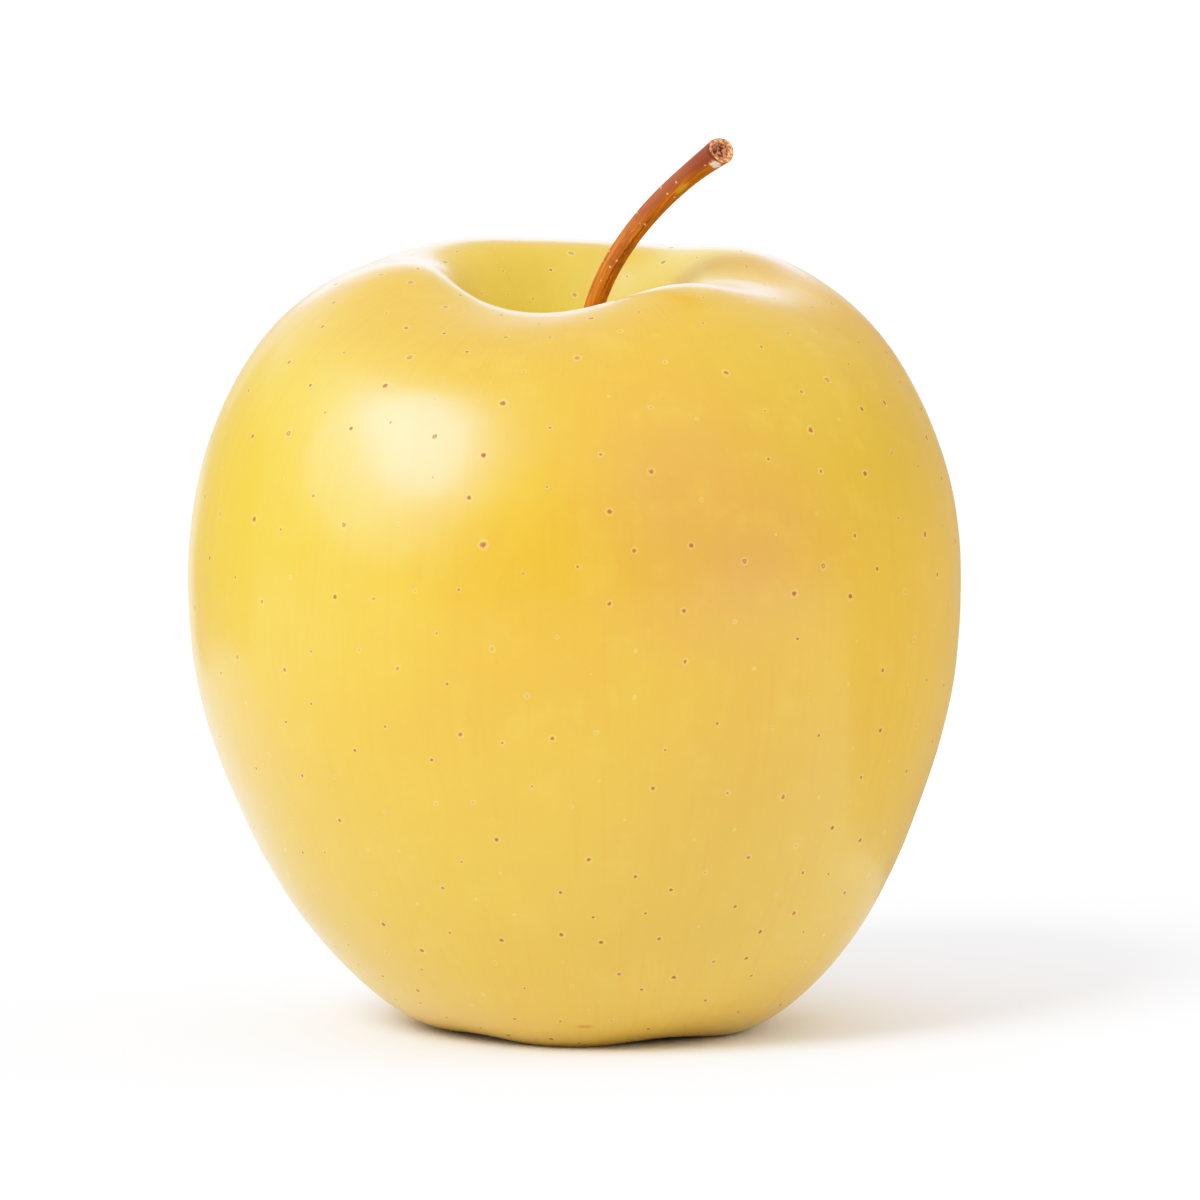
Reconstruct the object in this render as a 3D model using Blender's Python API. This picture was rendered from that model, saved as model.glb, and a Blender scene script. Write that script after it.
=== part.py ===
"""A whole yellow apple with its stem, and the withered calyx in the basin under it.

Frame: +Z up, front towards -Y. The origin lies on the surface that the apple stands on, under the
middle of the fruit. Lengths are in millimetres and angles in degrees until a mesh is made.
"""

import math

import bmesh
import bpy
import numpy as np

MM = 0.001

# Half outline of the fruit, from the stem's socket over the crown and down to the calyx basin.
# Each row is a radius, a height, and how far a rib moves that place outwards and upwards.
# The ribs of the crown fade out towards the equator, where those of the base begin.
CROWN = (
    (1.6, 60.4, 0.0, 0.0),  # mouth of the stem's socket
    (3.2, 61.8, 0.1, 0.0),
    (6.2, 66.5, 0.4, 0.4),  # wall of the stem cavity
    (9.8, 71.0, 0.8, 1.6),
    (12.8, 73.4, 0.8, 2.8),
    (16.8, 73.9, 0.6, 3.4),  # crest of the crown
    (22.0, 72.7, 0.5, 2.8),
    (28.4, 68.6, 0.8, 1.4),  # shoulder
    (33.4, 61.7, 0.7, 0.4),
    (36.4, 53.6, 0.4, 0.0),
)
EQUATOR = (37.5, 43.5, 0.0, 0.0)
BASE = (
    (36.5, 33.2, 0.2, 0.0),
    (33.2, 22.6, 0.5, 0.0),
    (28.4, 12.6, 0.8, -0.2),
    (22.8, 5.6, 0.8, -0.6),
    (17.6, 1.7, 0.8, -1.4),  # outer side of the feet
    (13.4, 0.6, 0.3, -1.9),  # lowest ring, where each rib ends in a foot
    (10.0, 2.2, -0.3, -1.3),
    (7.6, 5.2, -0.3, -0.5),  # wall of the calyx basin
    (4.6, 7.2, 0.0, 0.0),
    (0.0, 7.8, 0.0, 0.0),  # middle of the basin's floor
)

# Ribs as pairs of direction and strength. Directions run anticlockwise seen from above, from +X.
CROWN_RIBS = ((-167, 0.95), (-52, 0.95), (24, 0.8), (80, 0.4), (130, 0.7))
BASE_RIBS = ((-100, 1.0), (-26, 0.88), (50, 1.0), (118, 1.0), (189, 0.88))
RIB_SHARPNESS = 5.6

CROWN_SLOPE = 7.6  # the crown leans towards the front
BASE_DRIFT = 1.9  # how far the fruit's middle moves along +X from its equator down to the ground
FOOT_FLAT = 0.4  # how much of each foot is pressed flat

SEGMENTS = 72
WALL_SPACING = 3.2  # widest gap between two rings of the skin's mesh
TIGHT_SPACING = 1.7  # the same where the skin curves tightly, in the crown and the base
TIGHT_RADIUS = 25.0
SOCKET_DEPTH = 2.4

# Middle line of the stem: a point, and the stem's radius there.
STEM_LINE = (
    (0.0, 0.0, 58.2, 1.2),
    (0.1, 0.0, 61.5, 1.15),
    (1.0, -0.1, 66.5, 1.0),
    (2.5, -0.6, 71.5, 0.95),
    (5.3, -1.6, 76.5, 0.95),
    (8.6, -3.0, 80.5, 0.98),
    (11.6, -4.6, 83.3, 1.08),
    (14.0, -6.4, 85.2, 1.32),
)
STEM_SIDES = 16
STEM_STEP = 0.8
STEM_CUT = (0.45, -0.80, 0.40)  # where the broken end faces
PITH_SHARE = 0.5  # radius of the sunken pith, as a share of the end's
PITH_DEPTH = 0.35

# The calyx is a button under the basin's floor, with dried sepals round it.
CALYX_GAP = 0.55
BUTTON_RADIUS = 2.7
BUTTON_THICKNESS = 1.0
BUTTON_SIDES = 20
SEPALS = 5
SEPAL_TURN = 20
# Middle line of a sepal: distance from the axis, drop from the button's top, half width, half thickness.
SEPAL_LINE = (
    (1.7, 0.4, 1.3, 0.32),
    (2.4, 1.6, 1.55, 0.32),
    (2.2, 2.8, 1.2, 0.28),
    (2.7, 3.9, 0.75, 0.24),
    (3.9, 4.5, 0.22, 0.18),
)
SEPAL_SIDES = 8
SEPAL_STEP = 0.7


def natural_spline(knots, values, at):
    """Natural cubic spline through values, which has a row for each knot, read at the places in at."""
    last = len(knots) - 1
    step = np.diff(knots)
    slope = np.diff(values, axis=0) / step[:, None]
    matrix = np.eye(last + 1)
    wanted = np.zeros_like(values)
    for i in range(1, last):
        matrix[i, i - 1 : i + 2] = step[i - 1], 2 * (step[i - 1] + step[i]), step[i]
        wanted[i] = 6 * (slope[i] - slope[i - 1])
    bend = np.linalg.solve(matrix, wanted)
    i = np.clip(np.searchsorted(knots, at, side="right") - 1, 0, last - 1)
    h = step[i][:, None]
    before = (knots[i + 1] - at)[:, None]
    after = (at - knots[i])[:, None]
    cubic = (bend[i] * before**3 + bend[i + 1] * after**3) / (6 * h)
    return cubic + (values[i] / h - bend[i] * h / 6) * before + (values[i + 1] / h - bend[i + 1] * h / 6) * after


def lengths_along(points):
    """Distance of each point from the first one, along the straight pieces between them."""
    pieces = np.linalg.norm(np.diff(points, axis=0), axis=1)
    return np.concatenate([[0.0], np.cumsum(pieces)])


def ribs(angles, crests):
    """Height of a ring of smooth ribs at each angle: a crest is about 1 high, and the average is 0."""
    total = np.zeros_like(angles)
    average = np.i0(RIB_SHARPNESS) * np.exp(-RIB_SHARPNESS)
    for direction, strength in crests:
        total += strength * (np.exp(RIB_SHARPNESS * (np.cos(angles - np.radians(direction)) - 1)) - average)
    return total


def ring_places(knots, radii):
    """Where along the half outline a ring goes: at every station, and evenly between two of them."""
    places = []
    for start, end, radius in zip(knots, knots[1:], np.maximum(radii[:-1], radii[1:])):
        spacing = TIGHT_SPACING if radius < TIGHT_RADIUS else WALL_SPACING
        places.append(np.linspace(start, end, math.ceil((end - start) / spacing), endpoint=False))
    return np.concatenate([*places, knots[-1:]])


def fruit_rings():
    """Points of the fruit's skin: a ring for each place along its half outline, the last a single point."""
    rows = np.array(CROWN + (EQUATOR,) + BASE)
    crown = np.zeros((len(rows), 2))
    base = np.zeros((len(rows), 2))
    crown[: len(CROWN)] = rows[: len(CROWN), 2:]
    base[len(CROWN) :] = rows[len(CROWN) :, 2:]
    knots = lengths_along(rows[:, :2])
    places = ring_places(knots, rows[:, 0])
    at = natural_spline(knots, np.hstack([rows[:, :2], crown, base]), places)[:, :, None]
    angles = np.radians(np.arange(SEGMENTS) * 360.0 / SEGMENTS)
    crown_rib = ribs(angles, CROWN_RIBS)
    base_rib = ribs(angles, BASE_RIBS)
    radius = at[:, 0] + at[:, 2] * crown_rib + at[:, 4] * base_rib
    height = at[:, 1] + at[:, 3] * crown_rib + at[:, 5] * base_rib
    x = radius * np.cos(angles)
    y = radius * np.sin(angles)
    above = np.clip((height - EQUATOR[1]) / (CROWN[5][1] - EQUATOR[1]), 0.0, 1.0)
    height = height + np.tan(np.radians(CROWN_SLOPE)) * above**2 * y
    below = np.clip(1 - height / EQUATOR[1], 0.0, 1.0)
    x = x + BASE_DRIFT * below**2
    floor = height.min() + FOOT_FLAT
    return np.stack([x, y, np.maximum(height, floor) - floor], axis=2)


def closed_mesh(name, rings, first_tip, last_tip):
    """Mesh through rings of points, all of one length, closed by a point at either end."""
    bm = bmesh.new()
    loops = [[bm.verts.new(point * MM) for point in ring] for ring in rings]
    sides = len(loops[0])
    for ring, following in zip(loops, loops[1:]):
        for i in range(sides):
            j = (i + 1) % sides
            bm.faces.new((ring[i], following[i], following[j], ring[j]))
    for tip, ring, turned in ((first_tip, loops[0], False), (last_tip, loops[-1], True)):
        middle = bm.verts.new(np.asarray(tip) * MM)
        for i in range(sides):
            corners = (ring[i], ring[(i + 1) % sides], middle)
            bm.faces.new(corners[::-1] if turned else corners)
    bmesh.ops.recalc_face_normals(bm, faces=bm.faces)
    mesh = bpy.data.meshes.new(name)
    bm.to_mesh(mesh)
    bm.free()
    mesh.shade_smooth()
    return mesh


def swept_rings(line, step, sides, flat_side, section):
    """Rings across a middle line. section(sizes, place, angles) gives a ring's two offsets.

    The first offset runs along flat_side as nearly as the line allows, and the second across it.
    """
    line = np.array(line)
    knots = lengths_along(line[:, :3])
    places = np.linspace(0.0, knots[-1], round(knots[-1] / step) + 1)
    at = natural_spline(knots, line, places)
    along = np.gradient(at[:, :3], axis=0)
    along /= np.linalg.norm(along, axis=1)[:, None]
    angles = np.radians(np.arange(sides) * 360.0 / sides)
    rings = []
    for row, forward, place in zip(at, along, places / knots[-1]):
        side = np.asarray(flat_side) - (flat_side @ forward) * forward
        side /= np.linalg.norm(side)
        front = np.cross(forward, side)
        across, deep = section(row[3:], place, angles)
        rings.append(row[:3] + across[:, None] * side + deep[:, None] * front)
    return rings, along[-1]


def finish(name, colour, roughness):
    """A plain material of one colour."""
    made = bpy.data.materials.new(name)
    made.use_nodes = True
    shader = made.node_tree.nodes["Principled BSDF"]
    shader.inputs["Base Color"].default_value = (*colour, 1.0)
    shader.inputs["Roughness"].default_value = roughness
    return made


def add(name, mesh, parent=None):
    """Object with this mesh, whose points are already in the apple's own frame."""
    made = bpy.data.objects.new(name, mesh)
    bpy.context.scene.collection.objects.link(made)
    made.parent = parent
    return made


def make_fruit():
    rings = fruit_rings()
    socket_floor = rings[0] - np.array([0.0, 0.0, SOCKET_DEPTH])
    basin_floor = rings[-1].mean(axis=0)
    mesh = closed_mesh("fruit", [socket_floor, *rings[:-1]], socket_floor.mean(axis=0), basin_floor)
    mesh.materials.append(finish("skin", (0.86, 0.60, 0.10), 0.35))
    return add("fruit", mesh), basin_floor


def stem_section(sizes, place, angles):
    """A slightly oval and uneven section, which turns along the stem."""
    turn = 2.2 * place
    uneven = 0.05 * np.cos(2 * (angles - turn)) + 0.035 * np.cos(3 * angles + 4 * turn)
    radius = sizes[0] * (1 + uneven)
    return radius * np.cos(angles), radius * np.sin(angles)


def make_stem(fruit):
    towards_viewer = np.array([0.0, -1.0, 0.0])
    rings, forward = swept_rings(STEM_LINE, STEM_STEP, STEM_SIDES, towards_viewer, stem_section)
    end = rings[-1].mean(axis=0)
    # The end broke off at a slant: its ring slides along the stem into the plane of the break.
    facing = np.array(STEM_CUT)
    slide = (rings[-1] - end) @ facing / (forward @ facing)
    broken = rings[-1] - slide[:, None] * forward
    pith_rim = end + PITH_SHARE * (broken - end)
    pith_floor = pith_rim - PITH_DEPTH * forward
    rings = [*rings[:-1], broken, pith_rim, pith_floor]
    mesh = closed_mesh("stem", rings, rings[0].mean(axis=0), end - PITH_DEPTH * forward)
    mesh.materials.append(finish("bark", (0.42, 0.17, 0.04), 0.55))
    return add("stem", mesh, fruit)


def sepal_section(sizes, _place, angles):
    """A flat leaf's section, hollowed like a trough."""
    width, thickness = sizes
    across = width * np.cos(angles)
    return across, thickness * np.sin(angles) + 0.2 * across**2


def make_sepal(number, top):
    direction = np.radians(SEPAL_TURN + number * 360.0 / SEPALS)
    outward = np.array([np.cos(direction), np.sin(direction), 0.0])
    sideways = np.array([-np.sin(direction), np.cos(direction), 0.0])
    down = np.array([0.0, 0.0, -1.0])
    line = [(*(top + reach * outward + drop * down), *sizes) for reach, drop, *sizes in SEPAL_LINE]
    rings, _ = swept_rings(line, SEPAL_STEP, SEPAL_SIDES, sideways, sepal_section)
    return closed_mesh("sepal", rings, rings[0].mean(axis=0), rings[-1].mean(axis=0))


def make_button(top):
    around = np.radians(np.arange(BUTTON_SIDES) * 360.0 / BUTTON_SIDES)
    circle = np.stack([np.cos(around), np.sin(around), 0 * around], axis=1)
    down = np.array([0.0, 0.0, -BUTTON_THICKNESS])
    # Radius as a share of the button's, and place through its thickness.
    outline = ((0.75, 0.0), (1.0, 0.35), (0.9, 0.85), (0.55, 1.0))
    rings = [top + share * BUTTON_RADIUS * circle + depth * down for share, depth in outline]
    return closed_mesh("button", rings, top, top + 0.8 * down)


def joined(meshes, name):
    """One closed mesh out of several that overlap."""
    pieces = [add(name, mesh) for mesh in meshes]
    whole = pieces[0]
    for piece in pieces[1:]:
        union = whole.modifiers.new("union", "BOOLEAN")
        union.operation = "UNION"
        union.solver = "EXACT"
        union.object = piece
    bpy.context.view_layer.update()
    mesh = bpy.data.meshes.new_from_object(whole.evaluated_get(bpy.context.evaluated_depsgraph_get()))
    for piece in pieces:
        bpy.data.objects.remove(piece)
    mesh.name = name
    return mesh


def make_calyx(fruit, basin_floor):
    top = basin_floor - np.array([0.0, 0.0, CALYX_GAP])
    sepals = [make_sepal(number, top) for number in range(SEPALS)]
    mesh = joined([make_button(top), *sepals], "calyx")
    mesh.materials.clear()
    mesh.materials.append(finish("dry_sepal", (0.20, 0.12, 0.05), 0.8))
    return add("calyx", mesh, fruit)


def main():
    for old in list(bpy.data.objects):
        bpy.data.objects.remove(old)
    fruit, basin_floor = make_fruit()
    make_stem(fruit)
    make_calyx(fruit, basin_floor)


main()
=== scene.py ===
"""The looks of the whole yellow apple: its skin with lenticels, its stem and its calyx.

Each piece follows the same formula and sizes as its solid, on a finer mesh. Lengths are in
millimetres and angles in degrees, except where a comment says otherwise.
"""

import math

import bpy
import numpy as np
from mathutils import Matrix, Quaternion, Vector, kdtree, noise

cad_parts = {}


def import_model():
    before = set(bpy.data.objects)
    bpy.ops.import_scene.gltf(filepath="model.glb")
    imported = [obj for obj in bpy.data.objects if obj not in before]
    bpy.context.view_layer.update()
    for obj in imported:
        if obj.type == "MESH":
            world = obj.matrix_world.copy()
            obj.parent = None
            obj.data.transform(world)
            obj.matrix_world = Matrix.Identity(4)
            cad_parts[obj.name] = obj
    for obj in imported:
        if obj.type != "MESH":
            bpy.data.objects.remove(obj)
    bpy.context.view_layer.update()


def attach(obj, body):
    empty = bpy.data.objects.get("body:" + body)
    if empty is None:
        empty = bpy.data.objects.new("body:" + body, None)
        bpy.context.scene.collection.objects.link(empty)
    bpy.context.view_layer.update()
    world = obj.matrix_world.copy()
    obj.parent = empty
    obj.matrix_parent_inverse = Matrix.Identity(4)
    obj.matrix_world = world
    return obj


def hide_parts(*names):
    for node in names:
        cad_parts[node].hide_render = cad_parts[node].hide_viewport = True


MM = 0.001

# The photograph's camera, its distance from the target and its height above the horizon.
LENS = 279.0
SENSOR = 36.0
CAMERA_DISTANCE = 900.0
CAMERA_ELEVATION = 5.8
CAMERA_TARGET = (2.46, 0.0, 41.35)
# Nearest and furthest thing that the camera shows, and half the floor's width, in metres.
CAMERA_CLIP = (0.05, 50.0)
FLOOR_HALF = 8.0
# The room's mean brightness at the horizon, how much brighter it is overhead, behind the fruit and
# to its left, and the least that it has anywhere.
ROOM_BRIGHTNESS = 0.56
ROOM_ABOVE = 0.3
ROOM_BEHIND = 0.14
ROOM_LEFT = 0.14
ROOM_LEAST = 0.2
# Colour of the soft panels, a little cool against the yellow skin, and the place round which they
# hang, in metres.
SHINE_COLOUR = (0.78, 0.87, 1.22)
SHINE_CENTRE = (0.0, 0.0, 0.04)
# Number of places along a grey card's curve.
CARD_STEPS = 12
# Tone curve of the photograph: brightness in the scene, and how much of white it shows as.
FILM_WHITE = 1.5
FILM_CURVE = ((0.5, 0.5), (0.75, 0.71), (1.0, 0.86), (1.25, 0.96))

# Half outline of the fruit, from the stem's socket over the crown and down to the calyx basin.
# Each row is a radius, a height, and how far a rib moves that place outwards and upwards.
CROWN = (
    (1.6, 60.4, 0.0, 0.0),
    (3.2, 61.8, 0.1, 0.0),
    (6.2, 66.5, 0.4, 0.4),
    (9.8, 71.0, 0.8, 1.6),
    (12.8, 73.4, 0.8, 2.8),
    (16.8, 73.9, 0.6, 3.4),
    (22.0, 72.7, 0.5, 2.8),
    (28.4, 68.6, 0.8, 1.4),
    (33.4, 61.7, 0.7, 0.4),
    (36.4, 53.6, 0.4, 0.0),
)
EQUATOR = (37.5, 43.5, 0.0, 0.0)
BASE = (
    (36.5, 33.2, 0.2, 0.0),
    (33.2, 22.6, 0.5, 0.0),
    (28.4, 12.6, 0.8, -0.2),
    (22.8, 5.6, 0.8, -0.6),
    (17.6, 1.7, 0.8, -1.4),
    (13.4, 0.6, 0.3, -1.9),
    (10.0, 2.2, -0.3, -1.3),
    (7.6, 5.2, -0.3, -0.5),
    (4.6, 7.2, 0.0, 0.0),
    (0.0, 7.8, 0.0, 0.0),
)
# Ribs as pairs of direction and strength. Directions run anticlockwise seen from above, from +X.
CROWN_RIBS = ((-167, 0.95), (-52, 0.95), (24, 0.8), (80, 0.4), (130, 0.7))
BASE_RIBS = ((-100, 1.0), (-26, 0.88), (50, 1.0), (118, 1.0), (189, 0.88))
RIB_SHARPNESS = 5.6
# The crown leans towards the front, and the fruit's middle moves along +X from its equator down to
# the ground. Each foot is pressed flat by a little.
CROWN_SLOPE = 7.6
BASE_DRIFT = 1.9
FOOT_FLAT = 0.4
SOCKET_DEPTH = 2.4

# Points round the skin, and distance between its rings.
SKIN_SEGMENTS = 300
SKIN_SPACING = 0.55
# Unevenness of the skin: size of the bumps, and their height. The skin lies a little under the
# solid's, so that no bump passes it at the widest section.
SKIN_WAVES = ((11.0, 0.12), (4.0, 0.03))
SKIN_SINK = 0.075
# Streaks of the skin are stretched from the crown to the base: how often they change round the fruit
# and along its outline.
STREAKS_ROUND = 60.0
STREAKS_ALONG = 0.12

# Lenticels: how far they stay from the outline's start and from its end, smallest distance between
# two of them at some places along the outline, and their smallest and largest radius.
SPOT_SEED = 4853
SPOT_TRIES = 12000
SPOT_MARGINS = (5.0, 8.0)
SPOT_GAP_PLACES = (6.0, 14.0, 22.0, 52.0, 71.0, 93.0, 113.0)
SPOT_GAPS = (2.4, 2.8, 3.9, 4.2, 4.0, 3.1, 2.6)
SPOT_RADIUS = (0.16, 0.34)
# Short russet scratch low on the front: its middle, and how much each axis is shrunk before a round
# mark is drawn there.
SCRATCH = (1.0, -20.0, 2.7)
SCRATCH_SHAPE = (0.16, 0.2, 0.75)

# Middle line of the stem: a point, and the stem's radius there.
STEM_LINE = (
    (0.0, 0.0, 58.2, 1.2),
    (0.1, 0.0, 61.5, 1.15),
    (1.0, -0.1, 66.5, 1.0),
    (2.5, -0.6, 71.5, 0.95),
    (5.3, -1.6, 76.5, 0.95),
    (8.6, -3.0, 80.5, 0.98),
    (11.6, -4.6, 83.3, 1.08),
    (14.0, -6.4, 85.2, 1.32),
)
# Direction that the broken end faces.
STEM_CUT = (0.45, -0.80, 0.40)
# Points round the stem, distance between its rings, and how far its section turns from its foot to
# its end, in radians.
STEM_SIDES = 64
STEM_STEP = 0.2
STEM_TWIST = 2.2
# Rings of the stem's broken end, from its rim in to the sunken pith: share of the end's radius, and
# depth.
PITH_SHARE = 0.5
PITH_DEPTH = 0.35
BROKEN_END = ((0.97, -0.03), (0.85, 0.0), (0.7, 0.02), (0.58, 0.05), (PITH_SHARE, PITH_DEPTH))
# How often the bark's streaks change round the stem and along it.
BARK_STREAKS_ROUND = 2.2
BARK_STREAKS_ALONG = 0.18
# Marks on the stem: an angle round it, with 0 towards the viewer, and a length along it.
STEM_OLIVE_SPOT = (33.0, 27.2)
STEM_CRUST = (40.0, 31.9)

# The calyx is a button under the basin's floor, with dried sepals round it.
CALYX_GAP = 0.55
BUTTON_RADIUS = 2.7
BUTTON_THICKNESS = 1.0
BUTTON_SIDES = 48
# Rings of the button, from its top down: share of its radius, and of its thickness.
BUTTON_OUTLINE = ((0.75, 0.0), (1.0, 0.35), (0.9, 0.85), (0.55, 1.0))
SEPALS = 5
SEPAL_TURN = 20
# Middle line of a sepal: distance from the axis, drop from the button's top, half width, half thickness.
SEPAL_LINE = (
    (1.7, 0.4, 1.3, 0.32),
    (2.4, 1.6, 1.55, 0.32),
    (2.2, 2.8, 1.2, 0.28),
    (2.7, 3.9, 0.75, 0.24),
    (3.9, 4.5, 0.22, 0.18),
)
SEPAL_SIDES = 28
SEPAL_STEP = 0.15
# How deep a sepal's trough is for its width.
SEPAL_HOLLOW = 0.2
# Roughness of the calyx: size of the bumps, and their height.
CALYX_WAVES = ((1.5, 0.15), (0.5, 0.08))


def round_angles(sides):
    """Angles of points spread evenly round a ring."""
    return np.radians(np.arange(sides) * 360.0 / sides)


def natural_spline(knots, values, at):
    """Natural cubic spline through values, which has a row for each knot, read at the places in at."""
    last = len(knots) - 1
    step = np.diff(knots)
    slope = np.diff(values, axis=0) / step[:, None]
    matrix = np.eye(last + 1)
    wanted = np.zeros_like(values)
    for i in range(1, last):
        matrix[i, i - 1 : i + 2] = step[i - 1], 2 * (step[i - 1] + step[i]), step[i]
        wanted[i] = 6 * (slope[i] - slope[i - 1])
    bend = np.linalg.solve(matrix, wanted)
    i = np.clip(np.searchsorted(knots, at, side="right") - 1, 0, last - 1)
    h = step[i][:, None]
    before = (knots[i + 1] - at)[:, None]
    after = (at - knots[i])[:, None]
    cubic = (bend[i] * before**3 + bend[i + 1] * after**3) / (6 * h)
    first = (values[i] / h - bend[i] * h / 6) * before
    second = (values[i + 1] / h - bend[i + 1] * h / 6) * after
    return cubic + first + second


def lengths_along(points):
    """Distance of each point from the first one, along the straight pieces between them."""
    pieces = np.linalg.norm(np.diff(points, axis=0), axis=1)
    return np.concatenate([[0.0], np.cumsum(pieces)])


def smooth(value, low, high):
    """0 below low and 1 above high, with a smooth step between them."""
    t = np.clip((value - low) / (high - low), 0.0, 1.0)
    return t * t * (3 - 2 * t)


def ribs(angles, crests):
    """Height of a ring of smooth ribs at each angle: a crest is about 1 high, and the average is 0."""
    total = np.zeros_like(angles)
    average = np.i0(RIB_SHARPNESS) * np.exp(-RIB_SHARPNESS)
    for direction, strength in crests:
        total += strength * (np.exp(RIB_SHARPNESS * (np.cos(angles - np.radians(direction)) - 1)) - average)
    return total


def outline_rows():
    """The fruit's half outline: its knots, and rows of radius, height and both kinds of rib."""
    rows = np.array(CROWN + (EQUATOR,) + BASE)
    crown = np.zeros((len(rows), 2))
    base = np.zeros((len(rows), 2))
    crown[: len(CROWN)] = rows[: len(CROWN), 2:]
    base[len(CROWN) :] = rows[len(CROWN) :, 2:]
    return lengths_along(rows[:, :2]), np.hstack([rows[:, :2], crown, base])


def skin_points(places, angles):
    """Points of the skin before it stands on its feet: places along the half outline, angles round it."""
    knots, rows = outline_rows()
    at = natural_spline(knots, rows, places.ravel()).reshape(*places.shape, 6)
    crown_rib = ribs(angles, CROWN_RIBS)
    base_rib = ribs(angles, BASE_RIBS)
    radius = at[..., 0] + at[..., 2] * crown_rib + at[..., 4] * base_rib
    height = at[..., 1] + at[..., 3] * crown_rib + at[..., 5] * base_rib
    x = radius * np.cos(angles)
    y = radius * np.sin(angles)
    crest = max(row[1] for row in CROWN)
    above = np.clip((height - EQUATOR[1]) / (crest - EQUATOR[1]), 0.0, 1.0)
    height = height + np.tan(np.radians(CROWN_SLOPE)) * above**2 * y
    below = np.clip(1 - height / EQUATOR[1], 0.0, 1.0)
    return np.stack([x + BASE_DRIFT * below**2, y, height], axis=-1)


def roughened(points, normals, waves, amount):
    """Points moved along their normals by smooth noise. waves are pairs of size and height."""
    moved = points.copy()
    for size, rise in waves:
        lift = [noise.noise(Vector(point / size)) for point in points]
        moved += (rise * np.array(lift) * amount)[:, None] * normals
    return moved


def grid_faces(rings, sides, offset):
    """Quads between rings of points that are numbered one ring after the other."""
    ring, side = np.meshgrid(np.arange(rings - 1), np.arange(sides), indexing="ij")
    ring = ring.ravel()
    side = side.ravel()
    following = (side + 1) % sides
    here = ring * sides
    there = here + sides
    corners = (here + side, there + side, there + following, here + following)
    return (np.stack(corners, axis=1) + offset).tolist()


def cap_faces(first, sides, tip, turned):
    """Triangles from a ring of points, numbered from first, to one point that closes it."""
    faces = [(first + i, first + (i + 1) % sides, tip) for i in range(sides)]
    return [face[::-1] for face in faces] if turned else faces


def closed_shell(rings, first_tip, last_tip, offset=0):
    """Points and faces of a shell through rings, closed by a point at either end."""
    rings = np.asarray(rings)
    count, sides = rings.shape[:2]
    points = np.concatenate([rings.reshape(-1, 3), [first_tip, last_tip]])
    faces = grid_faces(count, sides, offset)
    last_ring = offset + (count - 1) * sides
    faces += cap_faces(offset, sides, offset + count * sides, False)
    faces += cap_faces(last_ring, sides, offset + count * sides + 1, True)
    return points, faces


def make_mesh(name, points, faces):
    mesh = bpy.data.meshes.new(name)
    mesh.from_pydata((np.asarray(points) * MM).tolist(), [], faces)
    mesh.shade_smooth()
    mesh.update()
    return mesh


def store(mesh, name, kind, values, domain="POINT"):
    """Keeps a value for each point or face of the mesh, which its material reads by name."""
    slot = {"FLOAT": "value", "FLOAT_VECTOR": "vector", "FLOAT_COLOR": "color"}[kind]
    layer = mesh.attributes.new(name, kind, domain)
    layer.data.foreach_set(slot, np.asarray(values, dtype=np.float32).ravel())


def store_outline(mesh, sides, ring_places, tip_place):
    """Keeps each point's direction round the piece and its place along it, for shells of rings."""
    turn = np.tile(round_angles(sides), len(ring_places))
    outline = np.stack([np.cos(turn), np.sin(turn), np.repeat(ring_places, sides)], axis=1)
    tips = [(1.0, 0.0, 0.0), (1.0, 0.0, tip_place)]
    store(mesh, "outline", "FLOAT_VECTOR", np.concatenate([outline, tips]))


def normals_of(points, faces):
    """Direction that the surface faces at each point."""
    mesh = make_mesh("plain", points, faces)
    values = np.empty(len(points) * 3)
    mesh.vertices.foreach_get("normal", values)
    bpy.data.meshes.remove(mesh)
    return values.reshape(-1, 3)


def add_piece(name, mesh, material, node):
    """Object for a CAD node, which it replaces."""
    mesh.materials.append(material)
    piece = bpy.data.objects.new(name, mesh)
    bpy.context.scene.collection.objects.link(piece)
    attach(piece, "root")
    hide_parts(node)


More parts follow.
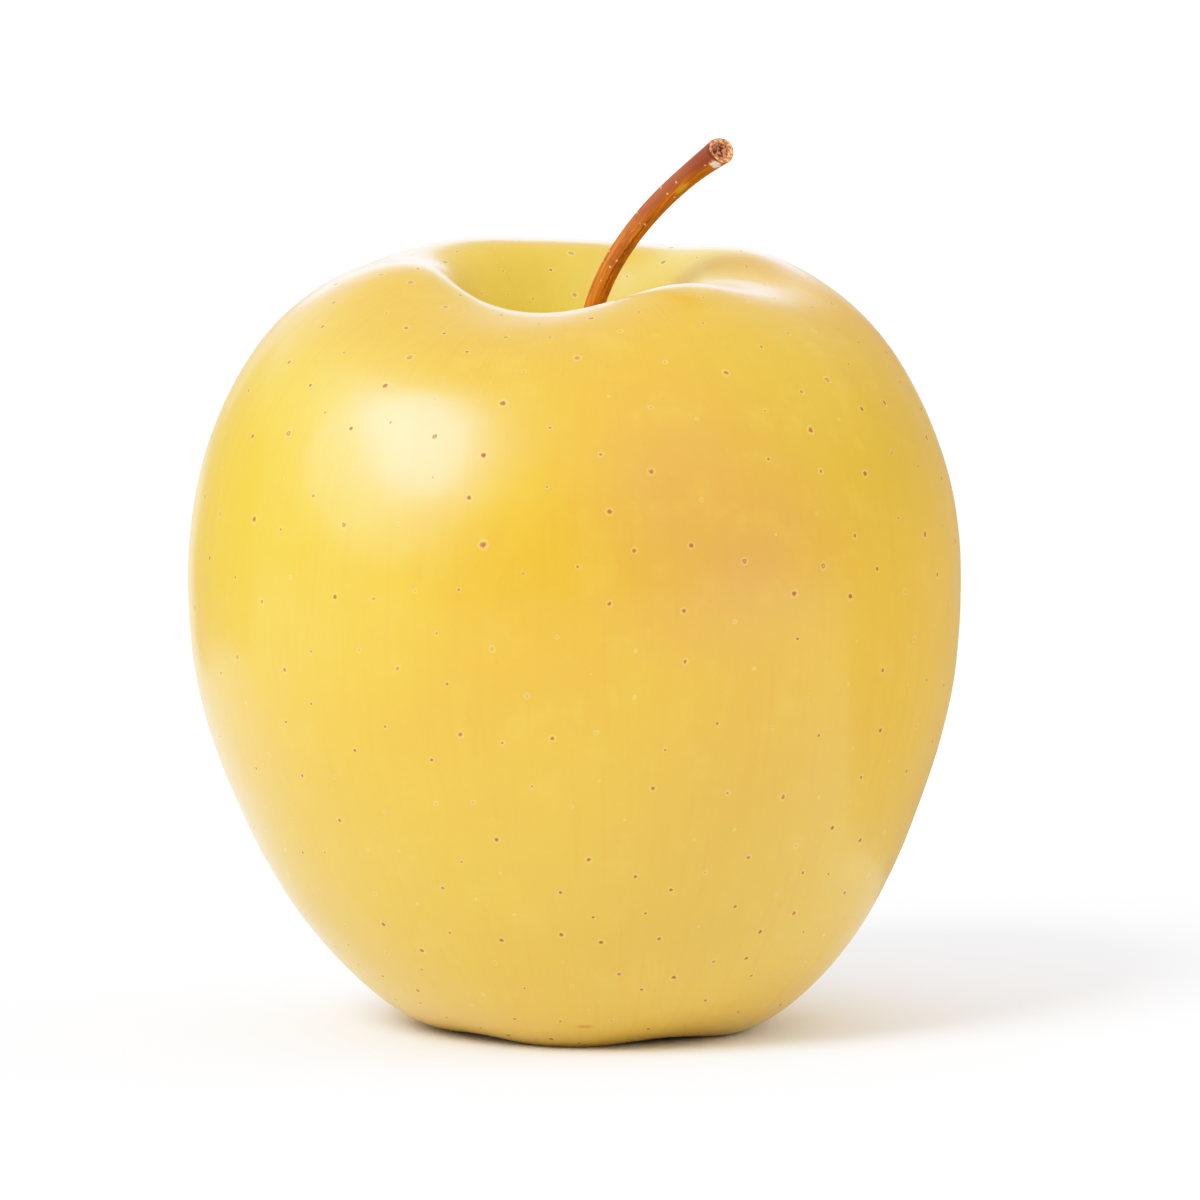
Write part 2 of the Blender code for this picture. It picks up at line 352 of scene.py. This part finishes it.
class Graph:
    """The nodes of one material or of the world."""

    def __init__(self, tree):
        tree.nodes.clear()
        self.tree = tree

    def add(self, kind, inputs=None, **settings):
        node = self.tree.nodes.new(kind)
        for name, value in settings.items():
            setattr(node, name, value)
        for name, value in (inputs or {}).items():
            self.feed(node.inputs[name], value)
        return node

    def feed(self, socket, value):
        if isinstance(value, bpy.types.NodeSocket):
            self.tree.links.new(value, socket)
        else:
            socket.default_value = value

    def math(self, operation, first, second=0.0):
        return self.add("ShaderNodeMath", {0: first, 1: second}, operation=operation).outputs[0]

    def times(self, *factors):
        product = factors[0]
        for factor in factors[1:]:
            product = self.math("MULTIPLY", product, factor)
        return product

    def plus(self, *terms):
        total = terms[0]
        for term in terms[1:]:
            total = self.math("ADD", total, term)
        return total

    def vector(self, operation, first, second, output=0):
        return self.add("ShaderNodeVectorMath", {0: first, 1: second}, operation=operation).outputs[output]

    def scaled(self, vector, factor):
        return self.add("ShaderNodeVectorMath", {0: vector, "Scale": factor}, operation="SCALE").outputs[0]

    def parts(self, vector):
        return self.add("ShaderNodeSeparateXYZ", {0: vector}).outputs

    def joined(self, x, y, z):
        return self.add("ShaderNodeCombineXYZ", {0: x, 1: y, 2: z}).outputs[0]

    def attribute(self, name, output="Fac"):
        return self.add("ShaderNodeAttribute", attribute_name=name).outputs[output]

    def step(self, value, low, high):
        """0 at low and 1 at high, smooth between them. low may be the larger one."""
        inputs = {"Value": value, "From Min": low, "From Max": high}
        return self.add("ShaderNodeMapRange", inputs, interpolation_type="SMOOTHSTEP").outputs[0]

    def blend(self, factor, first, second):
        """Colour between first and second."""
        node = self.add("ShaderNodeMix", {0: factor, 6: first, 7: second}, data_type="RGBA")
        return node.outputs[2]

    def between(self, factor, first, second):
        """Number between first and second."""
        return self.add("ShaderNodeMix", {0: factor, 2: first, 3: second}).outputs[0]

    def cloud(self, vector, size, detail=2.0, roughness=0.5):
        """Smooth noise from 0 to 1 whose lumps are about as large as size."""
        inputs = {"Vector": vector, "Scale": 1.0 / size, "Detail": detail, "Roughness": roughness}
        return self.add("ShaderNodeTexNoise", inputs).outputs[0]

    def ball(self, position, middle, radius, edge):
        """1 within radius of a point and 0 at that and the edge further out."""
        away = self.vector("DISTANCE", position, middle, "Value")
        return self.step(away, radius + edge, radius)

    def bump(self, height, distance, strength, normal=None):
        inputs = {"Height": height, "Distance": distance * MM, "Strength": strength}
        if normal is not None:
            inputs["Normal"] = normal
        return self.add("ShaderNodeBump", inputs).outputs[0]

    def position(self):
        """Place on the object in millimetres."""
        return self.scaled(self.add("ShaderNodeTexCoord").outputs["Object"], 1 / MM)

    def surface(self, inputs):
        shader = self.add("ShaderNodeBsdfPrincipled", inputs)
        out = self.add("ShaderNodeOutputMaterial")
        self.feed(out.inputs["Surface"], shader.outputs[0])


def new_material(name):
    material = bpy.data.materials.new(name)
    material.use_nodes = True
    return material, Graph(material.node_tree)


def rgb(red, green, blue):
    """Colour for a shader from the 0 to 255 values that a screen shows."""
    screen = np.array([red, green, blue]) / 255.0
    light = np.where(screen <= 0.04045, screen / 12.92, ((screen + 0.055) / 1.055) ** 2.4)
    return (*light.tolist(), 1.0)


def skin_tone(graph, position, along, streak_place):
    """Colour of the skin without its lenticels."""
    patches = graph.cloud(position, 17.0, 2.0)
    mottle = graph.cloud(position, 4.5, 3.0, 0.6)
    streaks = graph.cloud(streak_place, 1.6, 3.0, 0.6)

    tone = graph.blend(graph.step(patches, 0.35, 0.65), rgb(213, 159, 12), rgb(216, 164, 14))
    # Lemon at the upper left, ochre at the right, and a faint blush between them.
    lemon = graph.ball(position, (-30.0, -14.0, 58.0), 8.0, 30.0)
    tone = graph.blend(graph.times(lemon, 0.75), tone, rgb(220, 178, 36))
    ochre = graph.ball(position, (36.0, -10.0, 40.0), 6.0, 34.0)
    tone = graph.blend(graph.times(ochre, 0.6), tone, rgb(220, 172, 36))
    blush = graph.ball(position, (14.0, -32.0, 54.0), 3.0, 17.0)
    blush = graph.times(blush, graph.between(graph.step(patches, 0.3, 0.7), 0.45, 0.75))
    tone = graph.blend(blush, tone, rgb(200, 144, 76))
    # Deeper on the crown, greener in the cavity, with a painted light patch on its right slope, which lifts
    # the shade there.
    crown = graph.step(along, 42.0, 27.0)
    tone = graph.blend(graph.times(crown, 0.6), tone, rgb(205, 150, 4))
    green = graph.step(along, 25.0, 10.0)
    tone = graph.blend(graph.times(green, 0.85), tone, rgb(200, 174, 50))
    # Painted light: a paler patch on the cavity's right slope stands in for light that the shaded slope
    # lacks.
    painted_light_patch = graph.ball(position, (14.0, 11.0, 73.0), 2.5, 6.0)
    tone = graph.blend(graph.times(painted_light_patch, 0.8), tone, rgb(218, 192, 108))
    # Olive on the right shoulder, paler towards the base, and painted light on the underside next to the
    # floor.
    olive = graph.ball(position, (24.0, -18.0, 61.0), 5.0, 16.0)
    tone = graph.blend(graph.times(olive, 0.7), tone, rgb(198, 158, 14))
    base = graph.step(along, 64.0, 94.0)
    tone = graph.blend(graph.times(base, 0.85), tone, rgb(207, 167, 46))
    # Painted light: the underside next to the floor is made lighter, to lift its shade.
    tone = graph.blend(graph.times(graph.step(along, 92.0, 112.0), 0.7), tone, rgb(226, 186, 60))

    # Fine mottling and streaks, and the scratch.
    pale = graph.times(graph.step(mottle, 0.5, 0.75), 0.22)
    tone = graph.blend(pale, tone, rgb(226, 180, 62))
    deep = graph.times(graph.step(streaks, 0.45, 0.8), 0.2)
    tone = graph.blend(deep, tone, rgb(206, 144, 8))
    squeezed = graph.vector("MULTIPLY", position, SCRATCH_SHAPE)
    middle = [place * share for place, share in zip(SCRATCH, SCRATCH_SHAPE)]
    scratch = graph.times(graph.ball(squeezed, middle, 0.06, 0.14), graph.step(mottle, 0.2, 0.5))
    return graph.blend(graph.times(scratch, 0.8), tone, rgb(190, 118, 16))


def spots(graph, position, tone):
    """The skin's colour with its lenticels, and how far into a lenticel's middle each place is."""
    look = graph.add("ShaderNodeAttribute", attribute_name="spot_look")
    radius, strength, hollow = graph.parts(look.outputs["Vector"])
    grey = look.outputs["Alpha"]
    ragged = graph.cloud(position, 0.22, 1.0)
    away = graph.vector("DISTANCE", position, graph.attribute("spot_centre", "Vector"), "Value")
    away = graph.math("DIVIDE", away, graph.math("MAXIMUM", radius, 0.05))
    away = graph.plus(away, graph.times(graph.math("SUBTRACT", ragged, 0.5), 0.9))
    # A weak lenticel shows as a pale dot without a dark middle.
    halo = graph.times(graph.step(away, 1.9, 1.0), graph.between(strength, 0.3, 0.28))
    core = graph.times(graph.step(away, 1.2, 0.6), strength)
    middle = graph.step(away, 0.65, 0.2)
    core_tone = graph.blend(grey, rgb(166, 80, 18), rgb(156, 120, 84))
    core_tone = graph.blend(graph.times(middle, 0.6), core_tone, rgb(112, 44, 12))
    tone = graph.blend(halo, tone, rgb(240, 216, 132))
    marked = graph.times(core, graph.math("SUBTRACT", 1.0, graph.times(middle, hollow, 0.8)))
    tone = graph.blend(graph.times(marked, 0.9), tone, core_tone)
    return tone, core


def skin_material():
    material, graph = new_material("skin")
    position = graph.position()
    east, north, along = graph.parts(graph.attribute("outline", "Vector"))
    spread = [graph.times(side, STREAKS_ROUND) for side in (east, north)]
    streak_place = graph.joined(*spread, graph.times(along, STREAKS_ALONG))
    tone = skin_tone(graph, position, along, streak_place)
    tone, core = spots(graph, position, tone)
    peel = graph.plus(graph.cloud(position, 1.1, 2.0), graph.times(graph.cloud(position, 0.3, 1.0), 0.3))
    # The gloss on the crown has fine streaks.
    crown = graph.times(graph.step(along, 44.0, 30.0), graph.step(along, 12.0, 22.0))
    normal = graph.bump(peel, 0.02, 0.5)
    normal = graph.bump(graph.cloud(streak_place, 0.9, 2.0), 0.05, graph.times(crown, 0.6), normal)
    normal = graph.bump(core, -0.03, 0.5, normal)
    # The skin is duller in the cavity.
    shiny = graph.step(along, 10.0, 19.0)
    gloss = graph.plus(0.32, graph.times(graph.cloud(position, 6.0), 0.1), graph.times(core, 0.45))
    gloss = graph.between(shiny, 0.75, gloss)
    graph.surface({
        "Base Color": tone,
        "Roughness": gloss,
        "IOR": 1.5,
        "Subsurface Weight": 0.2,
        "Subsurface Radius": (1.0, 0.55, 0.15),
        "Subsurface Scale": 2.5 * MM,
        "Coat Weight": graph.times(shiny, graph.between(core, 0.3, 0.0)),
        "Coat Roughness": 0.18,
        "Normal": normal,
    })
    return material


def scatter_spots(knots, shift):
    """Middles of the lenticels, no two nearer to each other than the gap for their place allows."""
    random = np.random.default_rng(SPOT_SEED)
    places = random.uniform(SPOT_MARGINS[0], knots[-1] - SPOT_MARGINS[1], SPOT_TRIES)
    angles = random.uniform(0.0, 2 * np.pi, SPOT_TRIES)
    points = skin_points(places, angles) - shift
    # Narrow rings keep fewer draws, so that lenticels don't crowd near the axis.
    wide = np.hypot(points[:, 0], points[:, 1]) / EQUATOR[0]
    chosen = random.uniform(size=SPOT_TRIES) < wide
    gaps = np.interp(places, SPOT_GAP_PLACES, SPOT_GAPS)
    kept = np.empty((0, 3))
    for point, gap in zip(points[chosen], gaps[chosen]):
        if len(kept) == 0 or np.linalg.norm(kept - point, axis=1).min() > gap:
            kept = np.vstack([kept, point])
    return kept, random


def spot_looks(middles, random):
    """Core radius, strength, hollowness and greyness of each lenticel."""
    count = len(middles)
    height = middles[:, 2]
    # Higher up they are larger, stronger and more often hollow, and near the top they are greyer.
    upper = smooth(height, 24.0, 56.0)
    size = random.uniform(size=count) ** 1.5
    radius = SPOT_RADIUS[0] + (SPOT_RADIUS[1] - SPOT_RADIUS[0]) * size * (0.625 + 0.375 * upper)
    plain = random.uniform(size=count)
    strength = np.where(plain < 0.5 + 0.35 * upper, 1.0, np.where(plain < 0.75 + 0.2 * upper, 0.45, 0.05))
    radius = radius * (0.65 + 0.35 * strength)
    hollow = np.where(random.uniform(size=count) < 0.45 * upper, 1.0, 0.0)
    grey = np.clip(random.normal(0.15, 0.2, count) + 0.5 * smooth(height, 64.0, 74.0), 0.0, 1.0)
    return np.stack([radius, strength, hollow, grey], axis=1)


def mark_spots(mesh, knots, shift):
    """Tells each face of the skin which lenticel is the nearest one, and how that one looks."""
    middles, random = scatter_spots(knots, shift)
    looks = spot_looks(middles, random)
    tree = kdtree.KDTree(len(middles))
    for number, middle in enumerate(middles):
        tree.insert(Vector(middle), number)
    tree.balance()
    nearest = [tree.find(face.center / MM)[1] for face in mesh.polygons]
    store(mesh, "spot_centre", "FLOAT_VECTOR", middles[nearest], "FACE")
    store(mesh, "spot_look", "FLOAT_COLOR", looks[nearest], "FACE")
    return len(middles)


def make_fruit():
    knots, _ = outline_rows()
    places = np.linspace(0.0, knots[-1], round(knots[-1] / SKIN_SPACING) + 1)
    grid = skin_points(*np.meshgrid(places, round_angles(SKIN_SEGMENTS), indexing="ij"))
    shift = np.array([0.0, 0.0, grid[..., 2].min() + FOOT_FLAT])
    grid = grid - shift
    socket_floor = grid[0] - np.array([0.0, 0.0, SOCKET_DEPTH])
    basin_floor = grid[-1].mean(axis=0)
    rings = np.concatenate([[socket_floor], grid[:-1]])
    points, faces = closed_shell(rings, socket_floor.mean(axis=0), basin_floor)
    normals = normals_of(points, faces)
    # The feet and the stem's socket stay where the solid has them.
    free = smooth(points[:, 2], 1.0, 6.0) * smooth(np.hypot(points[:, 0], points[:, 1]), 2.0, 5.0)
    points = roughened(points - SKIN_SINK * free[:, None] * normals, normals, SKIN_WAVES, free)
    points[:, 2] = np.maximum(points[:, 2], 0.0)
    mesh = make_mesh("fruit_skin", points, faces)
    store_outline(mesh, SKIN_SEGMENTS, np.concatenate([[0.0], places[:-1]]), knots[-1])
    count = mark_spots(mesh, knots, shift)
    print("lenticels", count, "skin triangles", len(mesh.polygons) * 2)
    add_piece("fruit_skin", mesh, skin_material(), "fruit")
    return basin_floor


def swept_rings(line, step, sides, flat_side, section):
    """Rings across a middle line, and how far along it each one is.

    section(sizes, place, angles) gives a ring's two offsets: the first runs along flat_side as
    nearly as the line allows, and the second across it.
    """
    line = np.array(line)
    knots = lengths_along(line[:, :3])
    places = np.linspace(0.0, knots[-1], round(knots[-1] / step) + 1)
    at = natural_spline(knots, line, places)
    along = np.gradient(at[:, :3], axis=0)
    along /= np.linalg.norm(along, axis=1)[:, None]
    angles = round_angles(sides)
    rings = []
    for row, forward, place in zip(at, along, places / knots[-1]):
        side = np.asarray(flat_side) - (flat_side @ forward) * forward
        side /= np.linalg.norm(side)
        front = np.cross(forward, side)
        across, deep = section(row[3:], place, angles)
        rings.append(row[:3] + across[:, None] * side + deep[:, None] * front)
    return rings, along[-1], places


def stem_section(sizes, place, angles):
    """A slightly oval and uneven section, which turns along the stem."""
    turn = STEM_TWIST * place
    uneven = 0.05 * np.cos(2 * (angles - turn)) + 0.035 * np.cos(3 * angles + 4 * turn)
    radius = sizes[0] * (1 + uneven)
    return radius * np.cos(angles), radius * np.sin(angles)


def stem_mark(graph, turned, mark, radius, edge, stretch):
    """1 on a mark on the stem and 0 off its edge. stretch is how much longer than wide it is."""
    angle = math.radians(mark[0])
    place = graph.joined(turned[0], turned[1], graph.times(turned[2], 1 / stretch))
    return graph.ball(place, (math.cos(angle), math.sin(angle), mark[1] / stretch), radius, edge)


def bark_tone(graph, position, turned, streaks):
    """Colour of the bark without its marks."""
    _, under, along = turned
    blotches = graph.cloud(position, 1.6, 3.0)
    tone = graph.blend(graph.step(streaks, 0.38, 0.62), rgb(166, 84, 6), rgb(204, 118, 8))
    # Redder towards the broken end on the upper side, partly a painted greyish sheen where the light falls,
    # and olive along the lower side, darkened there as painted shade.
    # Painted sheen: the red on the upper side carries a greyish cast where the light falls.
    red = graph.times(graph.step(along, 15.0, 27.0), graph.step(under, 0.5, -0.3))
    tone = graph.blend(graph.times(red, 0.9), tone, rgb(140, 68, 38))
    # Painted shade: the olive on the lower side is darker, away from the light.
    olive = graph.times(graph.step(under, 0.25, 0.8), graph.step(blotches, 0.3, 0.6))
    tone = graph.blend(graph.times(olive, 0.8), tone, rgb(146, 88, 18))
    tone = graph.blend(graph.times(graph.step(blotches, 0.6, 0.7), 0.35), tone, rgb(132, 66, 22))
    # Dark brown just before the broken end.
    dark = graph.times(graph.step(along, 27.5, 31.5), graph.step(under, 0.7, 0.1))
    return graph.blend(graph.times(dark, 0.6), tone, rgb(112, 48, 30))


def bark_furrow(graph, turned, fine, tone):
    """Adds the dark furrow that runs beside the olive side, halfway up."""
    front, under, along = turned
    wander = graph.plus(under, graph.times(fine, 0.3), graph.times(along, -0.02))
    furrow = graph.step(graph.math("ABSOLUTE", graph.plus(wander, -0.12)), 0.14, 0.03)
    stretch = graph.times(graph.step(along, 11.0, 15.0), graph.step(along, 25.0, 21.0))
    furrow = graph.times(furrow, stretch, graph.step(front, 0.0, 0.3))
    return graph.blend(graph.times(furrow, 0.7), tone, rgb(104, 48, 10))


def bark_marks(graph, position, turned, fine, tone):
    """Adds the olive spot, the pale specks and the white crust near the broken end."""
    spot = stem_mark(graph, turned, STEM_OLIVE_SPOT, 0.12, 0.4, 2.6)
    tone = graph.blend(graph.times(spot, graph.step(fine, 0.2, 0.5), 0.85), tone, rgb(196, 148, 28))
    speck = graph.add("ShaderNodeTexVoronoi", {"Vector": position, "Scale": 1.0 / 0.7})
    chosen = graph.step(graph.parts(speck.outputs["Color"])[0], 0.6, 0.62)
    dot = graph.times(graph.step(speck.outputs["Distance"], 0.2, 0.1), chosen)
    tone = graph.blend(graph.times(dot, 0.7), tone, rgb(230, 190, 150))
    crust = stem_mark(graph, turned, STEM_CRUST, 0.05, 0.75, 1.0)
    crust = graph.step(graph.times(crust, graph.step(fine, 0.25, 0.6)), 0.05, 0.6)
    return graph.blend(graph.times(crust, 0.9), tone, rgb(224, 214, 204))


def broken_tone(graph, position, inward, grain):
    """Colour of the broken end: pale wood round crumbly pith."""
    uneven = graph.math("SUBTRACT", graph.cloud(position, 0.5, 3.0), 0.5)
    ragged = graph.plus(inward, graph.times(uneven, 0.5))
    wood = graph.blend(graph.step(grain, 0.4, 0.6), rgb(236, 168, 116), rgb(160, 92, 54))
    pith = graph.blend(graph.step(grain, 0.4, 0.6), rgb(80, 36, 22), rgb(188, 120, 82))
    return graph.blend(graph.step(ragged, 0.26, 0.38), wood, pith)


def stem_material():
    material, graph = new_material("bark")
    position = graph.position()
    turned = graph.parts(graph.attribute("outline", "Vector"))
    front, under, along = turned
    inward = graph.attribute("broken")
    spread = [graph.times(side, BARK_STREAKS_ROUND) for side in (front, under)]
    streak_place = graph.joined(*spread, graph.times(along, BARK_STREAKS_ALONG))
    streaks = graph.cloud(streak_place, 0.7, 4.0, 0.65)
    fine = graph.cloud(position, 0.4, 3.0)
    grain = graph.cloud(position, 0.3, 3.0)
    tone = bark_tone(graph, position, turned, streaks)
    tone = bark_furrow(graph, turned, fine, tone)
    tone = bark_marks(graph, position, turned, fine, tone)
    broken = broken_tone(graph, position, inward, grain)
    tone = graph.blend(graph.step(inward, 0.02, 0.08), tone, broken)
    normal = graph.bump(streaks, 0.12, 0.6)
    normal = graph.bump(grain, 0.1, graph.between(graph.step(inward, 0.0, 0.1), 0.25, 1.0), normal)
    graph.surface({
        "Base Color": tone,
        "Roughness": graph.plus(0.42, graph.times(streaks, 0.25)),
        "Specular IOR Level": 0.15,
        "Normal": normal,
    })
    return material


def make_stem():
    towards_viewer = np.array([0.0, -1.0, 0.0])
    rings, forward, places = swept_rings(STEM_LINE, STEM_STEP, STEM_SIDES, towards_viewer, stem_section)
    end = rings[-1].mean(axis=0)
    facing = np.array(STEM_CUT)
    slide = (rings[-1] - end) @ facing / (forward @ facing)
    broken = rings[-1] - slide[:, None] * forward
    end_rings = [end + share * (broken - end) - depth * forward for share, depth in BROKEN_END]
    rings = [*rings[:-1], broken, *end_rings]
    points, faces = closed_shell(rings, rings[0].mean(axis=0), end - PITH_DEPTH * forward)
    mesh = make_mesh("stem_bark", points, faces)
    ring_places = np.concatenate([places, np.full(len(BROKEN_END), places[-1])])
    store_outline(mesh, STEM_SIDES, ring_places, places[-1])
    inward = [1 - share for share, _ in BROKEN_END]
    inward = np.repeat(np.concatenate([np.zeros(len(places)), inward]), STEM_SIDES)
    store(mesh, "broken", "FLOAT", np.concatenate([inward, [0.0, 1.0]]))
    add_piece("stem_bark", mesh, stem_material(), "stem")


def sepal_section(sizes, _place, angles):
    """A flat leaf's section, hollowed like a trough."""
    width, thickness = sizes
    across = width * np.cos(angles)
    return across, thickness * np.sin(angles) + SEPAL_HOLLOW * across**2


def sepal_rings(number, top):
    direction = np.radians(SEPAL_TURN + number * 360.0 / SEPALS)
    outward = np.array([np.cos(direction), np.sin(direction), 0.0])
    sideways = np.array([-np.sin(direction), np.cos(direction), 0.0])
    down = np.array([0.0, 0.0, -1.0])
    line = [(*(top + reach * outward + drop * down), *sizes) for reach, drop, *sizes in SEPAL_LINE]
    rings, _, _ = swept_rings(line, SEPAL_STEP, SEPAL_SIDES, sideways, sepal_section)
    return rings


def button_rings(top):
    around = round_angles(BUTTON_SIDES)
    circle = np.stack([np.cos(around), np.sin(around), 0 * around], axis=1)
    down = np.array([0.0, 0.0, -BUTTON_THICKNESS])
    return [top + share * BUTTON_RADIUS * circle + depth * down for share, depth in BUTTON_OUTLINE]


def calyx_material():
    material, graph = new_material("dry_sepal")
    position = graph.position()
    crumbs = graph.cloud(position, 0.6, 4.0, 0.65)
    tone = graph.blend(graph.step(crumbs, 0.35, 0.65), rgb(78, 54, 34), rgb(142, 112, 74))
    normal = graph.bump(crumbs, 0.2, 0.8)
    graph.surface({"Base Color": tone, "Roughness": 0.85, "Normal": normal})
    return material


def make_calyx(basin_floor):
    top = basin_floor - np.array([0.0, 0.0, CALYX_GAP])
    shells = [button_rings(top)] + [sepal_rings(number, top) for number in range(SEPALS)]
    points = np.empty((0, 3))
    faces = []
    for rings in shells:
        shell, shell_faces = closed_shell(rings, rings[0].mean(axis=0), rings[-1].mean(axis=0), len(points))
        points = np.concatenate([points, shell])
        faces += shell_faces
    points = roughened(points, normals_of(points, faces), CALYX_WAVES, np.ones(len(points)))
    mesh = make_mesh("calyx_sepals", points, faces)
    add_piece("calyx_sepals", mesh, calyx_material(), "calyx")


def make_camera():
    elevation = math.radians(CAMERA_ELEVATION)
    back = Vector((0.0, -math.cos(elevation), math.sin(elevation)))
    camera = bpy.data.objects.new("camera", bpy.data.cameras.new("camera"))
    camera.data.lens = LENS
    camera.data.sensor_width = SENSOR
    camera.data.clip_start, camera.data.clip_end = CAMERA_CLIP
    camera.location = (Vector(CAMERA_TARGET) + CAMERA_DISTANCE * back) * MM
    camera.rotation_euler = (-back).to_track_quat("-Z", "Y").to_euler()
    bpy.context.scene.collection.objects.link(camera)
    bpy.context.scene.camera = camera


def make_film():
    """Bright tones come closer together towards white, as in the photograph."""
    view = bpy.context.scene.view_settings
    view.view_transform = "Standard"
    view.use_curve_mapping = True
    view.curve_mapping.white_level = (FILM_WHITE, FILM_WHITE, FILM_WHITE)
    # The fourth curve is the one for all three colours together.
    curve = view.curve_mapping.curves[3]
    for scene, shown in FILM_CURVE:
        curve.points.new(scene / FILM_WHITE, shown)
    view.curve_mapping.update()


def make_floor():
    signs = ((-1, -1), (1, -1), (1, 1), (-1, 1))
    corners = [(x * FLOOR_HALF, y * FLOOR_HALF, 0.0) for x, y in signs]
    mesh = bpy.data.meshes.new("floor")
    mesh.from_pydata(corners, [], [(0, 1, 2, 3)])
    material, graph = new_material("floor")
    graph.surface({"Base Color": rgb(248, 249, 254), "Roughness": 0.9, "Specular IOR Level": 0.0})
    mesh.materials.append(material)
    floor = bpy.data.objects.new("floor", mesh)
    bpy.context.scene.collection.objects.link(floor)


def add_shine(name, direction, distance, width, height, brightness, turn=0):
    """A soft panel in that direction, which shows in the gloss only.

    Its distance and size are in metres. A white wall has a brightness of 1. turn is how far the panel
    is turned in its own plane.
    """
    light = bpy.data.lights.new(name, "AREA")
    light.shape = "ELLIPSE"
    light.size = width
    light.size_y = height
    light.energy = brightness * math.pi * (math.pi / 4 * width * height)
    light.color = SHINE_COLOUR
    panel = bpy.data.objects.new(name, light)
    towards = Vector(direction).normalized()
    panel.location = Vector(SHINE_CENTRE) + distance * towards
    facing = towards.to_track_quat("Z", "Y") @ Quaternion((0.0, 0.0, 1.0), math.radians(turn))
    panel.rotation_euler = facing.to_euler()
    panel.visible_diffuse = False
    bpy.context.scene.collection.objects.link(panel)


def add_card(name, first, last, outline, brightness):
    """A curved grey card round the apple, between two directions, which shows in the gloss only.

    outline gives its distances and heights, from the floor up.
    """
    around = np.radians(np.linspace(first, last, CARD_STEPS))
    points = [(far * np.cos(turn), far * np.sin(turn), height) for far, height in outline for turn in around]
    starts = [row * CARD_STEPS + i for row in range(len(outline) - 1) for i in range(CARD_STEPS - 1)]
    faces = [(at, at + 1, at + 1 + CARD_STEPS, at + CARD_STEPS) for at in starts]
    mesh = make_mesh(name, points, faces)
    material, graph = new_material(name)
    glow = graph.add("ShaderNodeEmission", {"Strength": brightness})
    graph.feed(graph.add("ShaderNodeOutputMaterial").inputs["Surface"], glow.outputs[0])
    mesh.materials.append(material)
    card = bpy.data.objects.new(name, mesh)
    card.visible_camera = False
    card.visible_diffuse = False
    card.visible_shadow = False
    bpy.context.scene.collection.objects.link(card)


def add_sun(name, direction, brightness, softness):
    """A soft far light, which lights the whole floor alike and doesn't show in the gloss."""
    light = bpy.data.lights.new(name, "SUN")
    light.energy = brightness * math.pi
    light.angle = math.radians(softness)
    sun = bpy.data.objects.new(name, light)
    sun.rotation_euler = Vector(direction).to_track_quat("Z", "Y").to_euler()
    sun.visible_glossy = False
    bpy.context.scene.collection.objects.link(sun)


def make_world():
    """A pale room without colour, brighter overhead, behind the fruit and to its left."""
    world = bpy.data.worlds.new("world")
    world.use_nodes = True
    graph = Graph(world.node_tree)
    right, behind, above = graph.parts(graph.add("ShaderNodeTexCoord").outputs["Generated"])
    strength = graph.plus(ROOM_BRIGHTNESS, graph.times(above, ROOM_ABOVE), graph.times(behind, ROOM_BEHIND))
    strength = graph.math("MAXIMUM", graph.plus(strength, graph.times(right, -ROOM_LEFT)), ROOM_LEAST)
    sky = graph.add("ShaderNodeBackground", {"Color": (1.0, 1.0, 1.0, 1.0), "Strength": strength})
    out = graph.add("ShaderNodeOutputWorld")
    graph.feed(out.inputs["Surface"], sky.outputs[0])
    bpy.context.scene.world = world


def make_lights():
    """Suns for the skin and the floor, and panels and cards for the gloss."""
    make_world()
    add_sun("key", (-0.476, -0.572, 0.669), 0.8, 26.0)
    add_sun("overhead", (0.0, 0.1, 1.0), 0.27, 100.0)
    add_sun("fill", (0.9, 0.2, 0.38), 0.36, 40.0)
    add_shine("key_shine", (-0.58, -0.25, 0.73), 0.8, 0.36, 0.66, 7.2, 45)
    add_shine("key_glow", (-0.7, -0.3, 0.63), 0.8, 0.74, 1.0, 2.7, 30)
    add_shine("left_shine", (-0.42, 0.83, 0.36), 1.2, 0.7, 0.7, 0.6)
    add_shine("back_shine", (-0.04, 0.94, 0.26), 1.2, 0.56, 0.34, 2.5)
    add_shine("right_shine", (0.22, 0.93, 0.28), 1.2, 0.3, 0.5, 0.5)
    add_card("right_card", -8, 72, ((60, 0.4), (220, 0.4), (220, 180)), 0.4)
    add_card("left_card", 124, 170, ((220, 0.4), (220, 140)), 0.4)


def main():
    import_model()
    make_film()
    make_camera()
    make_floor()
    make_lights()
    basin_floor = make_fruit()
    make_stem()
    make_calyx(basin_floor)


main()
